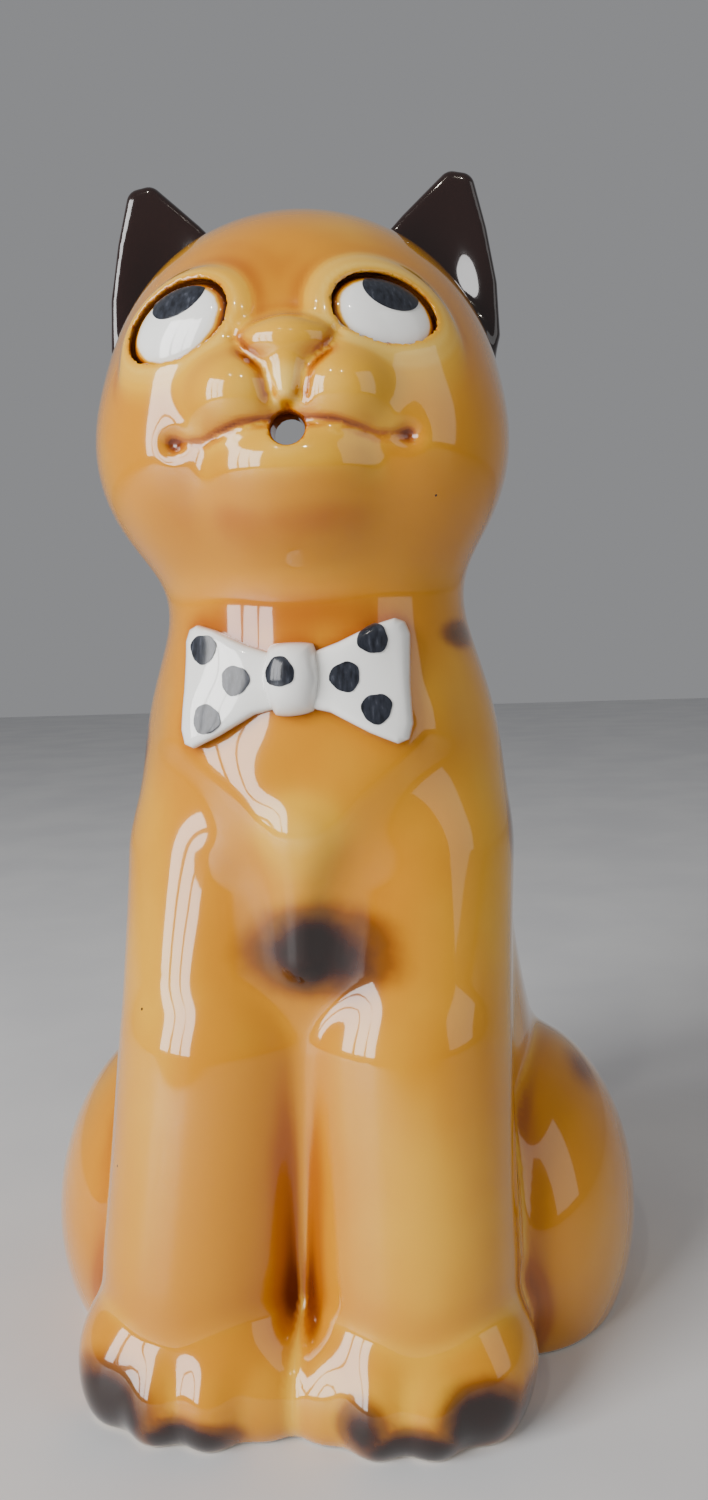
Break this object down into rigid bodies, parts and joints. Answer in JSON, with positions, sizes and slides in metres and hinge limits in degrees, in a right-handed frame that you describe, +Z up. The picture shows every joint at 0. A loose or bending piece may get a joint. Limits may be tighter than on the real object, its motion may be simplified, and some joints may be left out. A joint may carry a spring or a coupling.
{
  "type": "cat figurine jug",
  "caption": "Seated glazed ceramic cat with a spotted bow tie, hollow, with a pouring hole in the lips, an open back of the head and a tail handle.",
  "frame": {"origin": "centre of the bounding box's footprint, on the plane that the jug stands on", "axes": "+Z up; the cat faces -Y; +X is to the right of someone facing it"},
  "size_m": [0.1798, 0.1947, 0.3301],
  "materials": {
    "amber_glaze": "glossy amber-brown glaze, dark in the hollows and pale on the ridges",
    "black_glaze": "glossy black-brown glaze",
    "white_glaze": "glossy white glaze",
    "black_enamel": "brushed blue-black enamel"
  },
  "bodies": {
    "root": {"body_casting": "amber_glaze", "head_casting": "amber_glaze", "tail_handle": "amber_glaze", "ear_left": "black_glaze", "ear_right": "black_glaze", "eye_left": "white_glaze", "eye_right": "white_glaze", "pupil_left": "black_enamel", "pupil_right": "black_enamel", "bow_wing_left": "white_glaze", "bow_wing_right": "white_glaze", "bow_knot": "white_glaze", "polka_dot_1": "black_enamel", "polka_dot_2": "black_enamel", "polka_dot_3": "black_enamel", "polka_dot_4": "black_enamel", "polka_dot_5": "black_enamel", "polka_dot_6": "black_enamel", "polka_dot_7": "black_enamel"}
  },
  "joints": []
}
